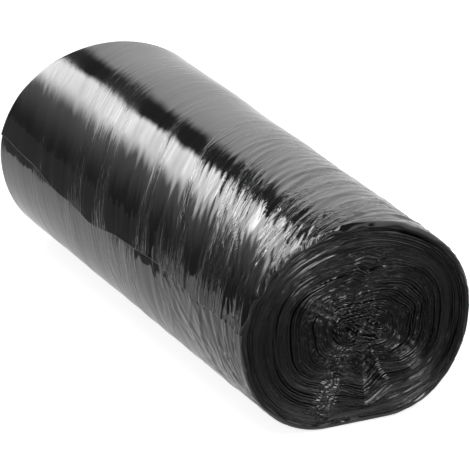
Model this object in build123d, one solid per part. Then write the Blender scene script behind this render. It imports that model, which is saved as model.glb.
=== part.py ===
"""Coreless roll of refuse sacks, lying on the small flat that its own weight presses into it.

The roll is one solid: a strip of folded polythene film wound on itself, with no tube inside.
Its length runs along X, it rests on Z = 0, and the origin is under its middle.
The section is a soft oval: half an ellipse above, and two quarter ellipses beside a flat below.
Each end shows the wound turns as one spiral crease. It starts beside the flattened, sunken core,
dips where the seams of the folded sacks lie on each other, and stops inside the rounded rim.
The loose tail of the last sack ends in a lap, a low step that runs the length of the roll.
"""

from build123d import *
from math import cos, exp, hypot, radians, sin, sqrt
import os

# Driving sizes, in millimetres and degrees. Angles run from +Y towards +Z about the roll's middle.
ROLL_LENGTH = 175.0
ROLL_WIDTH = 75.0
ROLL_HEIGHT = 63.0
REST_FLAT = 20.0  # width of the flat that the roll lies on
SHOULDER = 1.5  # rounding of the rim at each end

LAP_ANGLE = 174.0  # where the loose tail ends
LAP_STEP = 0.5  # thickness of the folded tail
LAP_TAPER = 80.0  # angle over which the tail comes out of the oval

CORE_WIDTH = 22.0  # the flattened middle of the winding
CORE_HEIGHT = 6.0
CORE_DEPTH = 3.5  # how far the middle is sunk
CORE_LIP = 0.8  # rounding of the core's mouth

TURNS = 12  # bands of turns that stand out on an end
CREASE_WIDTH = 0.35  # gap between two bands
CREASE_DEPTH = 1.2
CORE_LAND = 1.6  # from the core to the first turn of the crease
RIM_LAND = 1.5  # from the last turn of the crease to the rounding of the rim
SPANS_PER_TURN = 2  # pieces that each turn of the crease is drawn in
POINTS_PER_SPAN = 16

SEAM_DIPS = (  # angle, push towards the core, half spread in degrees
    (-120.0, 1.5, 14.0),
    (61.0, 1.0, 12.0),
)

SPARE = 0.2  # how far a cutting or trimming piece reaches past what it works on

half_length = ROLL_LENGTH / 2
half_width = ROLL_WIDTH / 2
half_height = ROLL_HEIGHT / 2
half_flat = REST_FLAT / 2


def oval_reach(angle, grow=0.0):
    """Distance from the middle to the oval at this angle, with the oval grown outwards by grow."""
    across, up = cos(radians(angle)), sin(radians(angle))
    half_y, half_z = half_width + grow, half_height + grow
    if up >= 0:
        return half_y * half_z / hypot(half_z * across, half_y * up)
    if abs(across) * half_z <= -up * half_flat:
        return half_z / -up
    # Where the ray meets the quarter ellipse that is centred over the end of the flat.
    haunch = half_y - half_flat
    square = (across / haunch) ** 2 + (up / half_z) ** 2
    middle = abs(across) * half_flat / haunch**2
    rest = (half_flat / haunch) ** 2 - 1
    return (middle + sqrt(middle**2 - square * rest)) / square


def core_reach(angle, grow=0.0):
    """Distance from the middle to an ellipse that stands grow outside the core."""
    half_y, half_z = CORE_WIDTH / 2 + grow, CORE_HEIGHT / 2 + grow
    return half_y * half_z / hypot(half_z * cos(radians(angle)), half_y * sin(radians(angle)))


def at(angle, reach):
    """The point, drawn as Y and Z, at this angle and distance from the roll's middle."""
    return Vector(reach * cos(radians(angle)), half_height + reach * sin(radians(angle)))


def oval_face(grow=0.0):
    """The section as a face, grown outwards by grow on every side."""
    half_y, half_z = half_width + grow, half_height + grow
    haunch = half_y - half_flat
    crown = EllipticalCenterArc((0, half_height), half_y, half_z, 0, arc_size=180)
    left = EllipticalCenterArc((-half_flat, half_height), haunch, half_z, 180, arc_size=90)
    rest = Line((-half_flat, -grow), (half_flat, -grow))
    right = EllipticalCenterArc((half_flat, half_height), haunch, half_z, 270, arc_size=90)
    return make_face([*crown.edges(), *left.edges(), *rest.edges(), *right.edges()])


def tail_face():
    """The tail of the last sack: it comes out of the oval over the taper and ends in the lap."""
    steps = 10
    over, under = [], []
    for i in range(steps + 1):
        share = i / steps
        angle = LAP_ANGLE - LAP_TAPER * (1 - share)
        over.append(at(angle, oval_reach(angle) - SPARE + (LAP_STEP + SPARE) * share))
        under.append(at(angle, oval_reach(angle) - LAP_STEP - SPARE))
    outline = [Spline(*over), Line(over[-1], under[-1]), Spline(*under), Line(under[0], over[0])]
    return make_face([curve.edge() for curve in outline])


def along_roll(face, start, length):
    """A face drawn as Y and Z, carried along the roll from start by length."""
    section = Plane(origin=(start, 0, 0), x_dir=(0, 1, 0), z_dir=(1, 0, 0)) * face
    return extrude(section, amount=length, dir=(1, 0, 0))


def rounded_roll(grow=0.0):
    """The plain roll, grown outwards by grow all round its section, with both rims rounded."""
    roll = along_roll(oval_face(grow), -half_length, ROLL_LENGTH)
    return fillet(roll.faces().filter_by(Axis.X).edges(), SHOULDER)


def loose_tail():
    """The tail over the whole length, trimmed to rims that are rounded as the roll's are."""
    return along_roll(tail_face(), -half_length, ROLL_LENGTH) & rounded_roll(LAP_STEP + SPARE)


def sink_core(body, end, inwards):
    """Sinks the flattened core into one end, and rounds its mouth."""
    mouth = Pos(0, half_height) * SlotOverall(CORE_WIDTH, CORE_HEIGHT)
    floor = end + inwards * CORE_DEPTH
    body -= along_roll(mouth, floor, -inwards * (CORE_DEPTH + SPARE))
    lip = body.edges().filter_by(lambda edge: abs(edge.center().X - end) < SPARE)
    lip = lip.filter_by(lambda edge: abs(edge.center().Y) < CORE_WIDTH / 2)
    return fillet(lip.filter_by(lambda edge: abs(edge.center().Z - half_height) < CORE_HEIGHT), CORE_LIP)


def seam_dip(angle, share):
    """How far the seams push a turn towards the core, most for the turns half way out."""
    push = 0.0
    for seam, depth, spread in SEAM_DIPS:
        away = (angle - seam + 180) % 360 - 180
        push += depth * exp(-((away / spread) ** 2))
    return push * 4 * share * (1 - share)


def crease_point(wound):
    """Point on the crease's middle line after it has wound by this angle from its start."""
    share = wound / (360 * TURNS)
    angle = LAP_ANGLE + wound
    inner = core_reach(angle, CORE_LAND)
    outer = oval_reach(angle, -SHOULDER - RIM_LAND)
    return at(angle, inner * (1 - share) + outer * share - seam_dip(angle, share))


def crease_side(side, start, end):
    """One side of the crease between two wound angles: side is 1 outside and -1 inside."""
    points = []
    for i in range(POINTS_PER_SPAN + 1):
        wound = start + (end - start) * i / POINTS_PER_SPAN
        heading = (crease_point(wound + 1) - crease_point(wound - 1)).normalized()
        outwards = Vector(heading.Y, -heading.X)
        points.append(crease_point(wound) + outwards * (side * CREASE_WIDTH / 2))
    return Spline(*points)


def crease_spans():
    """The spiral crease, as a chain of faces drawn as Y and Z."""
    spans = []
    for i in range(TURNS * SPANS_PER_TURN):
        start, end = 360 * i / SPANS_PER_TURN, 360 * (i + 1) / SPANS_PER_TURN
        outside, inside = crease_side(1, start, end), crease_side(-1, start, end)
        outline = [outside, Line(outside @ 1, inside @ 1), inside, Line(inside @ 0, outside @ 0)]
        spans.append(make_face([curve.edge() for curve in outline]))
    return spans


def wound_roll():
    body = rounded_roll() + loose_tail()
    crease = crease_spans()
    for end, inwards in ((half_length, -1), (-half_length, 1)):
        body = sink_core(body, end, inwards)
        floor, rise = end + inwards * CREASE_DEPTH, -inwards * (CREASE_DEPTH + SPARE)
        body -= [along_roll(span, floor, rise) for span in crease]
    return body


bag_roll = wound_roll()
os.makedirs("parts", exist_ok=True)
export_step(bag_roll, "parts/bag_roll.step")
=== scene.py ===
# A roll of black bin bags on a plain pale floor.
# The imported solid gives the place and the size. The film, the wound ends and the cores are built here.
import bpy
import numpy as np
from math import cos, radians, sin
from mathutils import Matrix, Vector


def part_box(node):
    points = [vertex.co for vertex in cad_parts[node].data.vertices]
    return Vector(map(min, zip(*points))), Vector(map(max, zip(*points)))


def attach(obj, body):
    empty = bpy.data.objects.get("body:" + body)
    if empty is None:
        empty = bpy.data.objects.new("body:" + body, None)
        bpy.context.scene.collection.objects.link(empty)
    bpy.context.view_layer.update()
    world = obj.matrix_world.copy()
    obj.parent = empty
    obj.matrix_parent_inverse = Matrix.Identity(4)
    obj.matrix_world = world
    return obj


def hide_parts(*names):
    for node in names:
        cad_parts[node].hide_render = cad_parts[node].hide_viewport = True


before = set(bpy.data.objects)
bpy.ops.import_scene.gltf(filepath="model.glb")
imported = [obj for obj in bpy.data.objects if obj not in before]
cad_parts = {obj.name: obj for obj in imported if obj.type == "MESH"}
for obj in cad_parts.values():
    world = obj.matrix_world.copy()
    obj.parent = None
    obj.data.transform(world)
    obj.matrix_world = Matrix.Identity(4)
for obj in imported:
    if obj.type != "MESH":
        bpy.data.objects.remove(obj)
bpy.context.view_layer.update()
low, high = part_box("bag_roll")
halfLength, halfWidth, halfHeight = high.x, high.y, high.z / 2
mm = 0.001

roll = {
    "restFlat": 20 * mm,      # width of the flat underneath
    "shoulder": 1.5 * mm,     # rounding of the rims
    "lapAngle": 174,          # where the loose tail ends, in degrees from +Y towards +Z
    "lapStep": 0.5 * mm,      # thickness of the loose tail
    "lapTaper": 80,           # degrees over which that thickness dies away
}


def ovalReach(angle):
    # distance from the middle to the oval: half an ellipse above, two quarter ellipses beside a flat below,
    # each met by the ray at this angle
    across, up = np.cos(angle), np.sin(angle)
    flat = roll["restFlat"] / 2
    haunch = halfWidth - flat
    crown = halfWidth * halfHeight / np.hypot(halfHeight * across, halfWidth * up)
    square = (across / haunch) ** 2 + (up / halfHeight) ** 2
    middle = np.abs(across) * flat / haunch ** 2
    rest = (flat / haunch) ** 2 - 1
    side = (middle + np.sqrt(middle ** 2 - square * rest)) / square
    bottom = halfHeight / np.maximum(-up, 1e-6)
    below = np.where(np.abs(across) * bottom <= flat, bottom, side)
    return np.where(up >= 0, crown, below)


def waves(rng, count, *ranges):
    # smooth noise of about unit height: a sum of sine waves, whose frequency along each axis is drawn from
    # that axis's range
    rates = [rng.uniform(a, b, count) * rng.choice([-1, 1], count) for a, b in ranges]
    phases = rng.uniform(0, 2 * np.pi, count)

    def noise(*axes):
        total = 0
        for i in range(count):
            total = total + np.sin(sum(rate[i] * axis for rate, axis in zip(rates, axes)) + phases[i])
        return total / np.sqrt(count / 2)
    return noise


def ringWaves(rng, count, highest, rate):
    # the same, but closed round the ring: a whole number of waves in the angle, and any rate in the other
    # parameter
    orders = rng.integers(1, highest + 1, count)
    rates = rng.uniform(-rate, rate, count)
    phases = rng.uniform(0, 2 * np.pi, count)

    def noise(angle, other=0.0):
        total = 0
        for i in range(count):
            total = total + np.sin(orders[i] * angle + rates[i] * other + phases[i])
        return total / np.sqrt(count / 2)
    return noise


def smooth(value, start, end):
    # 0 before start, 1 after end, and an even S between them
    t = np.clip((value - start) / (end - start), 0, 1)
    return t * t * (3 - 2 * t)


def closedSurface(name, points, pattern, creased, poles=False):
    # A grid of rows by columns. The columns close on themselves. The rows close too, or end in two poles.
    # pattern is the texture position of each point, and creased is how much fine relief it has.
    # Faces are turned outwards by the sign of the volume.
    rows, columns = points.shape[:2]
    index = np.arange(rows * columns).reshape(rows, columns)
    after = np.roll(index, -1, axis=1)
    if poles:
        a, b, c, d = index[:-1], after[:-1], after[1:], index[1:]
    else:
        a, b, c, d = index, after, np.roll(after, -1, axis=0), np.roll(index, -1, axis=0)
    quads = np.stack([a, b, c, d], axis=-1).reshape(-1, 4)
    corners, marks, relief = points.reshape(-1, 3), pattern.reshape(-1, 3), creased.ravel()
    faces = quads.tolist()
    if poles:
        top, bottom = len(corners), len(corners) + 1
        corners = np.vstack([corners, points[0].mean(axis=0), points[-1].mean(axis=0)])
        marks = np.vstack([marks, pattern[0].mean(axis=0), pattern[-1].mean(axis=0)])
        relief = np.append(relief, [creased[0].mean(), creased[-1].mean()])
        faces += [[top, q, p] for p, q in zip(index[0].tolist(), after[0].tolist())]
        faces += [[bottom, p, q] for p, q in zip(index[-1].tolist(), after[-1].tolist())]
    p, q, r, s = (corners[quads[:, i]] for i in range(4))
    volume = np.einsum("ij,ij->", p, np.cross(q, r)) + np.einsum("ij,ij->", p, np.cross(r, s))
    if volume < 0:
        faces = [face[::-1] for face in faces]
    mesh = bpy.data.meshes.new(name)
    mesh.from_pydata(corners, [], faces)
    mesh.attributes.new("pattern", "FLOAT_VECTOR", "POINT").data.foreach_set("vector", marks.ravel())
    mesh.attributes.new("creased", "FLOAT", "POINT").data.foreach_set("value", relief)
    mesh.shade_smooth()
    piece = bpy.data.objects.new(name, mesh)
    bpy.context.scene.collection.objects.link(piece)
    print("built", name, len(faces), "faces")
    return piece


def standsForRoll(piece, material):
    piece.data.materials.append(material)
    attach(piece, "root")
    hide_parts("bag_roll")


def mathNode(tree, operation, first, second):
    # one Math node, whose two values are numbers or other nodes' outputs
    node = tree.nodes.new("ShaderNodeMath")
    node.operation = operation
    for socket, value in zip(node.inputs, (first, second)):
        if isinstance(value, (int, float)):
            socket.default_value = value
        else:
            tree.links.new(value, socket)
    return node.outputs[0]


def fadeNode(tree, value, start, end, before, after):
    # one number before start, another after end, and an even S between them
    node = tree.nodes.new("ShaderNodeMapRange")
    node.interpolation_type = "SMOOTHSTEP"
    tree.links.new(value, node.inputs["Value"])
    for name, number in (("From Min", start), ("From Max", end), ("To Min", before), ("To Max", after)):
        node.inputs[name].default_value = number
    return node.outputs["Result"]


creaseSockets = (
    ("Pattern", "NodeSocketVector", "INPUT"),
    ("Stretch", "NodeSocketVector", "INPUT"),
    ("Amount", "NodeSocketFloat", "INPUT"),
    ("Bend", "NodeSocketFloat", "INPUT"),
    ("Height", "NodeSocketFloat", "OUTPUT"),
    ("Patches", "NodeSocketFloat", "OUTPUT"),
)


def creaseGroup():
    # Fine creases: thin ridges along the level lines of a noise that is squeezed across them and drawn out
    # along them. A slower noise leaves patches without creases, and Amount thins them out further.
    group = bpy.data.node_groups.new("fineCreases", "ShaderNodeTree")
    for name, kind, direction in creaseSockets:
        group.interface.new_socket(name, in_out=direction, socket_type=kind)
    nodes, links = group.nodes, group.links
    inputs, outputs = nodes.new("NodeGroupInput"), nodes.new("NodeGroupOutput")

    scaled = nodes.new("ShaderNodeVectorMath")
    scaled.operation = "MULTIPLY"
    links.new(inputs.outputs["Pattern"], scaled.inputs[0])
    links.new(inputs.outputs["Stretch"], scaled.inputs[1])

    def noise(scale, detail):
        node = nodes.new("ShaderNodeTexNoise")
        node.inputs["Scale"].default_value = scale
        node.inputs["Detail"].default_value = detail
        links.new(scaled.outputs[0], node.inputs["Vector"])
        links.new(inputs.outputs["Bend"], node.inputs["Distortion"])
        return node.outputs["Fac"]

    def ridges(scale, width):
        distance = mathNode(group, "ABSOLUTE", mathNode(group, "SUBTRACT", noise(scale, 2), 0.5), 0)
        return fadeNode(group, distance, 0, width, 1, 0)

    patches = fadeNode(group, noise(0.25, 1), 0.42, 0.6, 0, 1)
    fainter = mathNode(group, "MULTIPLY", ridges(2.3, 0.08), 0.5)
    lines = mathNode(group, "ADD", ridges(1.0, 0.07), fainter)
    skin = mathNode(group, "MULTIPLY", noise(1.6, 2), 0.18)
    height = mathNode(group, "ADD", mathNode(group, "MULTIPLY", lines, patches), skin)
    height = mathNode(group, "MULTIPLY", height, inputs.outputs["Amount"])
    links.new(height, outputs.inputs["Height"])
    links.new(patches, outputs.inputs["Patches"])
    return group


fineCreases = creaseGroup()


def filmMaterial(name, look):
    # Black polythene: a deep base under a smooth skin, with fine creases as relief and a slight haze in
    # patches.
    material = bpy.data.materials.new(name)
    material.use_nodes = True
    nodes, links = material.node_tree.nodes, material.node_tree.links
    shader = nodes["Principled BSDF"]
    shader.inputs["IOR"].default_value = look["ior"]
    source = nodes.new("ShaderNodeAttribute")
    source.attribute_name = "pattern"
    creases = nodes.new("ShaderNodeGroup")
    creases.node_tree = fineCreases
    creases.inputs["Stretch"].default_value = look["stretch"]
    creases.inputs["Bend"].default_value = look["bend"]
    links.new(source.outputs["Vector"], creases.inputs["Pattern"])
    amount = nodes.new("ShaderNodeAttribute")
    amount.attribute_name = "creased"
    links.new(amount.outputs["Fac"], creases.inputs["Amount"])
    bump = nodes.new("ShaderNodeBump")
    bump.inputs["Strength"].default_value = look["relief"]
    bump.inputs["Distance"].default_value = look["depth"]
    links.new(creases.outputs["Height"], bump.inputs["Height"])
    links.new(bump.outputs["Normal"], shader.inputs["Normal"])
    haze = nodes.new("ShaderNodeMapRange")
    haze.inputs["To Min"].default_value = look["smoothRoughness"]
    haze.inputs["To Max"].default_value = look["creasedRoughness"]
    links.new(creases.outputs["Patches"], haze.inputs["Value"])
    links.new(haze.outputs["Result"], shader.inputs["Roughness"])
    tone = nodes.new("ShaderNodeMix")
    tone.data_type = "RGBA"
    tone.inputs["A"].default_value = look["deep"]
    tone.inputs["B"].default_value = look["pale"]
    links.new(creases.outputs["Patches"], tone.inputs["Factor"])
    links.new(tone.outputs["Result"], shader.inputs["Base Color"])
    return material


film = {
    "columns": 296,            # points round the roll
    "sideRows": 306,           # points along the side, closer together towards the creased end
    "rimRows": 8,
    "longCreases": 210,
    "shortCreases": 640,
    "deepCreases": 46,
    "creaseReach": 5,          # how many widths to each side a crease is worked out over
    "dipDepth": 0.45,          # the dip beside a crease, as a share of the crease's height
    "uprightNear": 0.45,       # how much less the creases lean at the near end
    "wave": 0.034 * mm,        # height of the slow swells under the creases
    "ripple": 0.021 * mm,      # height of the narrow ripples between them
    # how far a crease moves along the roll for each unit round it, at these distances from the lap
    "slopeAt": (0, 8, 24, 34, 46, 62, 80, 120, 170, 192, 206, 217),
    "slope": (0.35, 0.62, 0.9, 0.9, 0.62, 0.46, 0.38, 0.3, 0.1, -0.12, 0.0, 0.2),
    "swell": 0.08 * mm,        # height of the slowest unevenness
    "tailLift": 0.14 * mm,     # how far the loose tail's edge stands up
    "tailWander": 1.0 * mm,    # how far that edge strays along its length, slowly and quickly
    "tailWobble": 0.35 * mm,
    "wander": 11 * mm,         # distance from the edge over which the straying dies away
    "rimWave": 0.22 * mm,      # unevenness of the rims
    "lapCorner": 0.12 * mm,    # extra columns that keep the lap's edge crisp
    "wallInset": 2.8 * mm,     # from the skin to the hidden inside of the film
    "seed": 7,
    "look": {"ior": 1.5, "stretch": (0.34, 0.045, 0.0), "bend": 0.4, "relief": 1.0, "depth": 0.1 * mm,
             "smoothRoughness": 0.06, "creasedRoughness": 0.12,
             "deep": (0.010, 0.010, 0.011, 1), "pale": (0.017, 0.017, 0.018, 1)},
}


def outerFilm():
    rng = np.random.default_rng(film["seed"])
    lap = radians(roll["lapAngle"])

    # distance round the section, from the lap over the top and back to the lap
    fineAngle = lap - np.linspace(0, 2 * np.pi, 7201)
    reach = ovalReach(fineAngle)
    steps = np.hypot(np.diff(reach * np.cos(fineAngle)), np.diff(reach * np.sin(fineAngle)))
    fineAround = np.concatenate([[0], np.cumsum(steps)])
    girth = fineAround[-1]
    lapCorner = film["lapCorner"]
    between = np.linspace(0, girth, film["columns"] - 2)[1:-1]
    around = np.concatenate([[0, lapCorner], between, [girth - lapCorner, girth]])

    # rows: along the side, round each rim and a little way onto each end, then back inside the wall
    shoulder = roll["shoulder"]
    spread = np.linspace(-1, 1, film["sideRows"])
    spread = spread + 0.16 * (1 - spread ** 2)           # closer rows towards +X
    sideX = (halfLength - shoulder) * spread
    turn = np.linspace(0, np.pi / 2, film["rimRows"] + 1)[1:]
    rimX = halfLength - shoulder * (1 - np.sin(turn))
    rimInset = shoulder * (1 - np.cos(turn))
    faceX = halfLength - np.array([0.1, 0.5]) * mm
    faceInset = np.array([1.6, 2.0]) * mm
    wallX = np.linspace(halfLength - 1.5 * mm, 1.5 * mm - halfLength, 8)
    wallInset = np.full(8, film["wallInset"])
    x = np.concatenate([-faceX[::-1], -rimX[::-1], sideX, rimX, faceX, wallX])
    inset = np.concatenate([faceInset[::-1], rimInset[::-1], 0 * sideX, rimInset, faceInset, wallInset])
    x, around = np.meshgrid(x, around, indexing="ij")
    inset = inset[:, None] + 0 * around

    # the loose tail's edge wanders a little
    edgeWander = waves(rng, 7, (40, 260))
    slowWander = waves(rng, 5, (20, 75))
    fromLap = np.minimum(around, girth - around)
    stray = film["tailWander"] * slowWander(x) + film["tailWobble"] * edgeWander(x)
    placed = around + stray * np.exp(-(fromLap / film["wander"]) ** 2)
    angle = lap - np.interp(placed, fineAround, lap - fineAngle)
    angle = np.where(placed < 0, lap - placed / halfWidth, angle)
    angle = np.where(placed > girth, lap - 2 * np.pi - (placed - girth) / halfWidth, angle)

    # creases lean most on the upper front, and less over the crown and down the flank
    along = np.linspace(0, girth, 400)
    slope = np.interp(along, np.array(film["slopeAt"]) * mm, film["slope"])
    drift = np.concatenate([[0], np.cumsum((slope[1:] + slope[:-1]) / 2 * np.diff(along))])

    def upright(place):
        # the creases lean less close to the near end
        return 1 - film["uprightNear"] * smooth(place, 0.1 * halfLength, halfLength)

    def acrossAt(place, aroundPlace):
        # a number that is the same all along one crease
        return place + upright(place) * np.interp(aroundPlace, along, drift)

    across = acrossAt(x, around)

    height = film["wave"] * waves(rng, 14, (350, 900), (40, 150))(across, around)
    patches = smooth(waves(rng, 8, (60, 240), (60, 200))(across, around), -0.9, 0.9)
    height += film["ripple"] * waves(rng, 22, (1100, 2600), (40, 220))(across, around) * patches

    def crease(middleX, middleAround, reachAlong, width, tall, lean):
        # a thin ridge with a shallow dip beside it, fading out at both ends
        offset = across - acrossAt(middleX, middleAround) - lean * (around - middleAround)
        offset = offset / width
        run = (around - middleAround) / reachAlong
        near = (np.abs(run) < 1) & (np.abs(offset) < film["creaseReach"])
        o, t = offset[near], run[near]
        ridge = np.exp(-o ** 2) - film["dipDepth"] * np.exp(-((o - 1.9) / 1.5) ** 2)
        height[near] += tall * ridge * (1 - t ** 2) ** 2

    for i in range(film["longCreases"]):
        place = halfLength * (1.9 * rng.random() ** 0.75 - 0.95)
        crease(place, girth * rng.random(), rng.uniform(9, 26) * mm, rng.uniform(0.55, 0.9) * mm,
               rng.choice([-1, 1], p=[0.3, 0.7]) * rng.uniform(0.02, 0.085) * mm,
               rng.normal(0, 0.12))
    for i in range(film["deepCreases"]):
        crease(halfLength * rng.uniform(-0.1, 0.97), girth * rng.uniform(0.02, 0.42),
               rng.uniform(16, 34) * mm, rng.uniform(0.6, 0.85) * mm,
               rng.uniform(0.06, 0.12) * mm, rng.normal(0, 0.08))
    for i in range(film["shortCreases"]):
        place = halfLength * (1 - 0.62 * abs(rng.normal(0, 0.5)))
        if rng.random() < 0.22:
            place = -place
        crease(place, girth * rng.random(), rng.uniform(5, 15) * mm, rng.uniform(0.34, 0.5) * mm,
               rng.choice([-1, 1]) * rng.uniform(0.02, 0.085) * mm, rng.normal(-0.3, 0.35))

    # the film is drawn smoother away from +X, and most creased along a band above the tail's edge
    tight = 0.3 + 2.7 * (0.5 + 0.5 * x / halfLength).clip(0, 1) ** 2.2
    band = 0.85 + 2.0 * np.exp(-((around - 23 * mm) / (10 * mm)) ** 2)
    height *= np.minimum(tight * band, 4.4)
    height += film["swell"] * waves(rng, 8, (50, 150), (30, 90))(x, around)

    # the tail lies over the turn below it, and its edge lifts slightly
    fromEdge = np.degrees(lap - angle)
    lift = roll["lapStep"] * np.clip(1 - fromEdge / roll["lapTaper"], 0, 1)
    lift += film["tailLift"] * (1 + 0.6 * edgeWander(x + 0.05)) * np.exp(-around / (1.6 * mm))

    # rims: the folded edges of the sacks leave them slightly uneven
    rimNoise = ringWaves(rng, 12, 26, 0)
    onRim = smooth(inset, 0, shoulder)
    outside = np.where(inset < film["wallInset"], 1, 0)
    x = x + np.sign(x) * outside * onRim * film["rimWave"] * rimNoise(angle + np.sign(x))

    grounded = smooth(-np.sin(angle), 0.9, 0.99)         # the flat stays flat
    height = height * (1 - grounded) * (1 - 0.75 * onRim)
    reach = ovalReach(angle) + lift * (1 - 0.9 * onRim)
    y, z = reach * np.cos(angle), reach * np.sin(angle)
    ahead, behind = angle + 0.004, angle - 0.004
    tangentY = ovalReach(ahead) * np.cos(ahead) - ovalReach(behind) * np.cos(behind)
    tangentZ = ovalReach(ahead) * np.sin(ahead) - ovalReach(behind) * np.sin(behind)
    size = np.hypot(tangentY, tangentZ)
    normalY, normalZ = tangentZ / size, -tangentY / size
    y = y + normalY * (height - inset)
    z = z + normalZ * (height - inset) + halfHeight
    points = np.stack([x, y, z], axis=-1)
    pattern = np.stack([across / mm, around / mm, 0 * x], axis=-1)
    return closedSurface("outer_film", points, pattern, 0.55 * tight * (1 - 0.8 * onRim))


standsForRoll(outerFilm(), filmMaterial("outerFilm", film["look"]))


ends = {
    "turns": 34,
    "rowsPerTurn": 8,
    "columns": 360,
    "coreWide": 0.25, "coreTall": 0.13,        # half sizes of the flat middle, as shares of the half width
    "boxWide": 0.57, "boxTall": 0.38,          # the boxy turns round it
    "boxShare": 0.42,                          # how far out they are
    "offset": (2.8 * mm, -2.1 * mm),           # the middle of the winding from the middle of the oval
    "rimInset": 1.25 * mm,                     # from the oval to the outermost turn
    "rise": 0.38 * mm,                         # height of a turn's edge above the crease beside it
    "gap": 0.8 * mm,                           # depth of the gaps where the turns stand apart
    "crumple": 0.11 * mm,                      # unevenness of the inner turns
    "sunk": 1.8 * mm,                          # how far the middle lies below the rim
    # the ends take a darker base than the side film: painted shade for the light lost in the gaps between the
    # turns
    "look": {"ior": 1.5, "stretch": (1.0, 1.0, 1.0), "bend": 0.3, "relief": 0.7, "depth": 0.25 * mm,
             "smoothRoughness": 0.12, "creasedRoughness": 0.22,
             "deep": (0.004, 0.004, 0.004, 1), "pale": (0.01, 0.01, 0.011, 1)},
}


def boxReach(angle, wide, tall, power):
    # distance to a superellipse, which is an oval for power 2 and a rounded box for more
    return (np.abs(np.cos(angle) / wide) ** power + np.abs(np.sin(angle) / tall) ** power) ** (-1 / power)


def turnReach(angle, share):
    # from the flattened middle, through boxy turns, to the oval rim
    core = boxReach(angle, ends["coreWide"] * halfWidth, ends["coreTall"] * halfWidth, 2.4)
    box = boxReach(angle, ends["boxWide"] * halfWidth, ends["boxTall"] * halfWidth, 3.2)
    rim = ovalReach(angle) - ends["rimInset"]
    inner = core + (box - core) * np.clip(share / ends["boxShare"], 0, 1)
    return inner + (rim - box) * np.clip((share - ends["boxShare"]) / (1 - ends["boxShare"]), 0, 1)


def woundEnd(name, side, seed, kinks, strips):
    # A height over the end: each turn is a rounded edge between two creases of one spiral.
    # Turn number = turns * share + angle / 360. Place along the film = angle - 360 * whole turns.
    rng = np.random.default_rng(seed)
    rows = ends["turns"] * ends["rowsPerTurn"] + 1
    share, angle = np.meshgrid(np.linspace(0, 1, rows),
                               np.linspace(0, 2 * np.pi, ends["columns"], endpoint=False), indexing="ij")
    inside = np.sin(np.pi * share)
    wander = ringWaves(rng, 16, 7, 24)(angle, share)
    number = ends["turns"] * (share + 0.007 * wander * inside) + angle / (2 * np.pi)
    whole = np.floor(number)
    part = number - whole
    alongFilm = angle - 2 * np.pi * whole
    swell = waves(rng, 9, (0.6, 7))(alongFilm)
    patchy = waves(rng, 9, (0.3, 2.5))(alongFilm)
    loose = smooth(waves(rng, 12, (0.2, 1.8), (4, 16))(alongFilm, share), 0.1, 1.6) * smooth(share, 1.0, 0.55)
    edge = np.abs(np.sin(np.pi * part)) ** 0.7
    height = ends["rise"] * (0.7 + 0.5 * smooth(share, 0.8, 0.3)) * edge * (1 + 0.5 * swell)
    height = height + 0.28 * mm * patchy * np.sin(np.pi * part) ** 2
    height = height - ends["gap"] * loose * np.exp(-(np.minimum(part, 1 - part) / 0.16) ** 2)

    # kinks: where the seams of the sacks lie on each other the turns fold in a V
    reach = turnReach(angle, share)
    crumple = ringWaves(rng, 26, 75, 120)(angle, share)
    height = height + 0.05 * mm * ringWaves(rng, 20, 30, 60)(angle, share)
    for kink in kinks:
        line = radians(kink["inner"]) + (radians(kink["outer"]) - radians(kink["inner"])) * share
        away = np.degrees((angle - line + np.pi) % (2 * np.pi) - np.pi) / kink["spread"]
        begins = smooth(share, kink["from"] - 0.06, kink["from"] + 0.06)
        window = begins * (1 - smooth(share, kink["to"] - 0.12, kink["to"] + 0.05))
        fold = np.maximum(1 - np.abs(away), 0) - 0.7 * np.maximum(1 - np.abs(away - 1.25), 0)
        reach = reach + kink["push"] * fold * window
        height = height + kink["crumple"] * crumple * np.exp(-away ** 2) * window
    y = reach * np.cos(angle) + ends["offset"][0] * (1 - share)
    z = reach * np.sin(angle) + ends["offset"][1] * (1 - share)

    # strips: folded film that runs outwards over the turns, creased slantwise
    for strip in strips:
        (startY, startZ), (endY, endZ) = strip["start"], strip["end"]
        long = np.hypot(endY - startY, endZ - startZ)
        run = ((y - startY) * (endY - startY) + (z - startZ) * (endZ - startZ)) / long
        off = ((z - startZ) * (endY - startY) - (y - startY) * (endZ - startZ)) / long
        window = smooth(run, -2 * mm, 2 * mm) * (1 - smooth(run, long - 3 * mm, long + mm))
        window = window * np.exp(-(off / strip["half"]) ** 4)
        slant = y * cos(radians(strip["lean"])) + z * sin(radians(strip["lean"]))
        bend = waves(rng, 10, (200, 900), (200, 900))(y, z)
        creases = np.abs(np.sin(np.pi * slant / strip["pitch"] + 1.1 * bend))
        height = height * (1 - 0.9 * window) + strip["rise"] * window * (creases + 0.35 * bend)
    crumpled = waves(rng, 26, (900, 2600), (900, 2600))(y, z)
    height = height + ends["crumple"] * crumpled * smooth(share, 0.6, 0.1)

    x = halfLength - 0.65 * mm - ends["sunk"] * (1 - share) ** 1.6 + height
    x = x - 1.2 * mm * smooth(share, 0.988, 1.0)
    x = x - 1.6 * mm * smooth(0.03 - share, 0, 0.03)
    front = np.stack([side * x, y, halfHeight + z], axis=-1)
    back = front[[-1, 0]].copy()
    back[..., 0] = side * (halfLength - 6 * mm)          # the hidden back closes the ring
    pattern = np.stack([np.cos(angle) * 2.2, np.sin(angle) * 2.2, share * ends["turns"] * 2.2], axis=-1)
    points = np.concatenate([front, back])
    pattern = np.concatenate([pattern, pattern[[-1, 0]]])
    return closedSurface(name, points, pattern, np.ones(points.shape[:2]))


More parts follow.
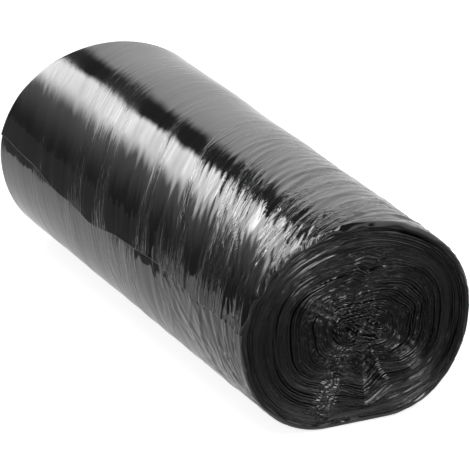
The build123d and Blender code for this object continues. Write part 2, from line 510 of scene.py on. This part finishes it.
# A kink runs from its inner to its outer angle, in degrees, between two shares of the way out.
# A strip runs from its start to its end, given from the roll's middle, with its creases slanted by its lean.
nearKinks = [
    {"inner": -90, "outer": -84, "spread": 19, "push": 2.6 * mm, "from": 0.1, "to": 0.85,
     "crumple": 0.06 * mm},
    {"inner": 118, "outer": 52, "spread": 9, "push": -0.8 * mm, "from": 0.22, "to": 0.78,
     "crumple": 0.08 * mm},
    {"inner": 168, "outer": 160, "spread": 16, "push": 0.8 * mm, "from": 0.1, "to": 0.4,
     "crumple": 0.08 * mm},
    {"inner": 12, "outer": 4, "spread": 14, "push": 0.9 * mm, "from": 0.1, "to": 0.45,
     "crumple": 0.1 * mm},
]
nearStrips = [
    {"start": (-4 * mm, -7 * mm), "end": (-13 * mm, -29 * mm), "half": 3.7 * mm, "lean": 125,
     "pitch": 1.7 * mm, "rise": 0.8 * mm},
    {"start": (3 * mm, 11 * mm), "end": (15 * mm, 19 * mm), "half": 1.4 * mm, "lean": 20,
     "pitch": 1.6 * mm, "rise": 0.22 * mm},
]
farKinks = [
    {"inner": -70, "outer": -84, "spread": 12, "push": 2.4 * mm, "from": 0.1, "to": 0.75,
     "crumple": 0.2 * mm},
    {"inner": 118, "outer": 76, "spread": 9, "push": -1.4 * mm, "from": 0.18, "to": 0.7,
     "crumple": 0.18 * mm},
    {"inner": 200, "outer": 186, "spread": 15, "push": 0.7 * mm, "from": 0.1, "to": 0.4,
     "crumple": 0.08 * mm},
]
farStrips = [
    {"start": (7 * mm, -7 * mm), "end": (11 * mm, -27 * mm), "half": 2.8 * mm, "lean": 60,
     "pitch": 1.2 * mm, "rise": 0.45 * mm},
]

endFilm = filmMaterial("woundEdges", ends["look"])
standsForRoll(woundEnd("near_end_turns", 1, 21, nearKinks, nearStrips), endFilm)
standsForRoll(woundEnd("far_end_turns", -1, 34, farKinks, farStrips), endFilm)


core = {
    "rows": 96,
    "columns": 320,
    "eyes": 0.5,               # place of the two curls, as a share of the half width of the core
    "foldPitch": 1.0 * mm,
    "foldRise": 0.95 * mm,
    "eyeDepth": 1.8 * mm,
    "crumple": 0.15 * mm,
    "sunk": 2.3 * mm,
    # the core takes the same darker base as the ends: painted shade for the light lost among the folds
    "look": {"ior": 1.5, "stretch": (1.0, 1.0, 1.0), "bend": 0.8, "relief": 0.6, "depth": 0.25 * mm,
             "smoothRoughness": 0.08, "creasedRoughness": 0.16,
             "deep": (0.004, 0.004, 0.004, 1), "pale": (0.01, 0.01, 0.011, 1)},
}


def coreFolds(name, side, seed):
    # The first turns, pressed flat. Their folds follow the ovals of Cassini round two curls:
    # fold number = square root of the product of the distances from the two curls, over the pitch.
    rng = np.random.default_rng(seed)
    share, angle = np.meshgrid(np.linspace(0.02, 1, core["rows"]),
                               np.linspace(0, 2 * np.pi, core["columns"], endpoint=False), indexing="ij")
    wide, tall = (ends["coreWide"] + 0.03) * halfWidth, (ends["coreTall"] + 0.03) * halfWidth
    reach = boxReach(angle, wide, tall, 2.4) * share
    y, z = reach * np.cos(angle), reach * np.sin(angle)
    drawn = 0.45 * mm * waves(rng, 14, (250, 800), (250, 800))(y, z)
    left = np.hypot(y + core["eyes"] * wide + drawn, 1.25 * z - drawn)
    right = np.hypot(y - core["eyes"] * wide + drawn, 1.25 * z + drawn)
    number = np.sqrt(left * right) / core["foldPitch"]
    uneven = waves(rng, 12, (300, 1200), (300, 1200))(y, z)
    height = core["foldRise"] * np.abs(np.sin(np.pi * number)) ** 0.8 * (1 + 0.45 * uneven)
    height = height + core["crumple"] * waves(rng, 26, (1200, 4200), (1200, 4200))(y, z)
    for curl in (left, right):
        height = height - core["eyeDepth"] * np.exp(-(curl / (1.1 * mm)) ** 2)
    x = halfLength - core["sunk"] + height - 1.2 * mm * smooth(share, 0.82, 1.0)
    y, z = y + ends["offset"][0], z + ends["offset"][1] + halfHeight
    front = np.stack([side * x, y, z], axis=-1)
    back = np.stack([0 * x + side * (halfLength - 7 * mm), y, z], axis=-1)[::-8]
    pattern = np.stack([y / mm, z / mm, share * 6], axis=-1)
    points, pattern = np.concatenate([front, back]), np.concatenate([pattern, pattern[::-8]])
    return closedSurface(name, points, pattern, np.ones(points.shape[:2]), poles=True)


coreFilm = filmMaterial("coreFolds", core["look"])
standsForRoll(coreFolds("near_core_folds", 1, 5), coreFilm)
standsForRoll(coreFolds("far_core_folds", -1, 9), coreFilm)


def towards(azimuth, elevation):
    # a direction from the roll: azimuth 0 is -Y and 90 is +X
    a, e = radians(azimuth), radians(elevation)
    return Vector((sin(a) * cos(e), -cos(a) * cos(e), sin(e)))


def paleFloor():
    reach = 3.0
    mesh = bpy.data.meshes.new("floor")
    z = low.z - 0.25 * mm
    corners = [(-reach, -reach, z), (reach, -reach, z), (reach, reach, z), (-reach, reach, z)]
    mesh.from_pydata(corners, [], [(0, 1, 2, 3)])
    floor = bpy.data.objects.new("floor", mesh)
    bpy.context.scene.collection.objects.link(floor)
    material = bpy.data.materials.new("paleFloor")
    material.use_nodes = True
    shader = material.node_tree.nodes["Principled BSDF"]
    shader.inputs["Base Color"].default_value = (0.8, 0.8, 0.8, 1)
    shader.inputs["Roughness"].default_value = 0.9
    shader.inputs["Emission Color"].default_value = (1, 1, 1, 1)
    seen = material.node_tree.nodes.new("ShaderNodeLightPath")
    glow = material.node_tree.nodes.new("ShaderNodeMapRange")
    glow.inputs["To Min"].default_value, glow.inputs["To Max"].default_value = studio["floorGlow"]
    material.node_tree.links.new(seen.outputs["Is Camera Ray"], glow.inputs["Value"])
    material.node_tree.links.new(glow.outputs["Result"], shader.inputs["Emission Strength"])
    mesh.materials.append(material)


def hiddenCard(name, corners, radiance):
    mesh = bpy.data.meshes.new(name)
    mesh.from_pydata(corners, [], [tuple(range(len(corners)))])
    card = bpy.data.objects.new(name, mesh)
    bpy.context.scene.collection.objects.link(card)
    material = bpy.data.materials.new(name)
    material.use_nodes = True
    shader = material.node_tree.nodes["Principled BSDF"]
    shader.inputs["Base Color"].default_value = (0.02, 0.02, 0.02, 1)
    shader.inputs["Emission Color"].default_value = (1, 1, 1, 1)
    shader.inputs["Emission Strength"].default_value = radiance
    mesh.materials.append(material)
    card.visible_camera = False
    card.visible_diffuse = False
    card.visible_shadow = False
    card.visible_transmission = False


def darkCard():
    # A dark card on the floor before the near end, met only by reflections, so that the wound turns stay
    # black.
    outline = np.array([(96, -260), (600, -260), (600, 420), (96, 420)]) * mm
    hiddenCard("darkCard", [(x, y, low.z) for x, y in outline], studio["darkCard"])


def darkFlag():
    # A low dark card beside the roll, met only by reflections: it keeps the front flank dark above the lap.
    # Its top falls away towards +X, so the flank turns grey higher up near that end.
    outline = np.array([(-30, 0), (-43, 22), (-58, 52), (-300, 52), (-300, 0)]) * mm
    hiddenCard("darkFlag", [(x, -88 * mm, z) for x, z in outline], studio["darkFlag"])


studio = {
    # Each light is a soft band along the roll. Its edges are angles about the roll's length, in degrees
    # from +Y over the top to -Y, and each edge fades between two of them.
    "lights": {
        "wall": {"starts": (-40, -10), "ends": (53, 64), "radiance": 1.2},
        "upperWall": {"starts": (0, 45), "ends": (53, 64), "radiance": 0.6},
        "strip": {"starts": (78, 85), "ends": (100, 122), "radiance": 7.9},
        "stripSpill": {"starts": (78, 85), "ends": (95, 165), "radiance": 1.2},
    },
    "room": 0.1,               # added all round
    "fill": 0.5,               # even light that falls on the floor and the film
    "darkCard": 0.12,          # what a reflection meets on the two dark cards
    "darkFlag": 0.08,
    "floorGlow": (0.5, 0.85),  # light from the floor itself, to the roll and to the camera
}


def studioWorld():
    # The camera sees plain white. The film sees long soft bands of light that run beside and over the roll.
    world = bpy.data.worlds.new("studio")
    bpy.context.scene.world = world
    world.use_nodes = True
    tree = world.node_tree
    nodes, links = tree.nodes, tree.links
    nodes.clear()
    place = nodes.new("ShaderNodeTexCoord")
    split = nodes.new("ShaderNodeSeparateXYZ")
    links.new(place.outputs["Generated"], split.inputs[0])
    turned = mathNode(tree, "ARCTAN2", split.outputs["Z"], split.outputs["Y"])
    met = studio["room"]
    for light in studio["lights"].values():
        rise = fadeNode(tree, turned, *np.radians(light["starts"]), 0, light["radiance"])
        fall = fadeNode(tree, turned, *np.radians(light["ends"]), 1, 0)
        met = mathNode(tree, "ADD", mathNode(tree, "MULTIPLY", rise, fall), met)
    seen = nodes.new("ShaderNodeLightPath")
    filled = nodes.new("ShaderNodeMix")
    links.new(seen.outputs["Is Glossy Ray"], filled.inputs["Factor"])
    filled.inputs["A"].default_value = studio["fill"]
    links.new(met, filled.inputs["B"])
    pick = nodes.new("ShaderNodeMix")
    links.new(seen.outputs["Is Camera Ray"], pick.inputs["Factor"])
    links.new(filled.outputs["Result"], pick.inputs["A"])
    pick.inputs["B"].default_value = 1.0
    background = nodes.new("ShaderNodeBackground")
    links.new(pick.outputs["Result"], background.inputs["Strength"])
    output = nodes.new("ShaderNodeOutputWorld")
    links.new(background.outputs[0], output.inputs["Surface"])


def softbox(name, azimuth, elevation, distance, wide, tall, radiance, aim):
    light = bpy.data.lights.new(name, "AREA")
    light.shape = "RECTANGLE"
    light.size, light.size_y = wide, tall
    light.energy = radiance * wide * tall * np.pi
    lamp = bpy.data.objects.new(name, light)
    back = towards(azimuth, elevation)
    lamp.location = aim + back * distance
    lamp.rotation_euler = back.to_track_quat("Z", "Y").to_euler()
    lamp.visible_camera = False
    bpy.context.scene.collection.objects.link(lamp)


view = {
    "azimuth": 63.85, "elevation": 21.92,      # where the camera stands, in degrees
    "distance": 37.24,                         # from what it looks at, in half widths of the roll
    "angle": 5.793,                            # what it takes in, in degrees
    "aim": (0.256, -0.208, 1.19),              # what it looks at, as shares of the roll's half sizes
}


def camera():
    data = bpy.data.cameras.new("camera")
    data.angle = radians(view["angle"])
    data.clip_start = 0.05
    camera = bpy.data.objects.new("camera", data)
    halfSizes = (halfLength, halfWidth, halfHeight)
    aim = Vector([share * half for share, half in zip(view["aim"], halfSizes)])
    back = towards(view["azimuth"], view["elevation"])
    camera.location = aim + back * view["distance"] * halfWidth
    camera.rotation_euler = back.to_track_quat("Z", "Y").to_euler()
    bpy.context.scene.collection.objects.link(camera)
    bpy.context.scene.camera = camera


rollMiddle = Vector((0, 0, halfHeight))
paleFloor()
darkCard()
darkFlag()
studioWorld()
softbox("overheadSoftbox", 60, 62, 1.6, 0.9, 0.9, 1.6, rollMiddle)
camera()
bpy.context.scene.view_settings.view_transform = "Standard"
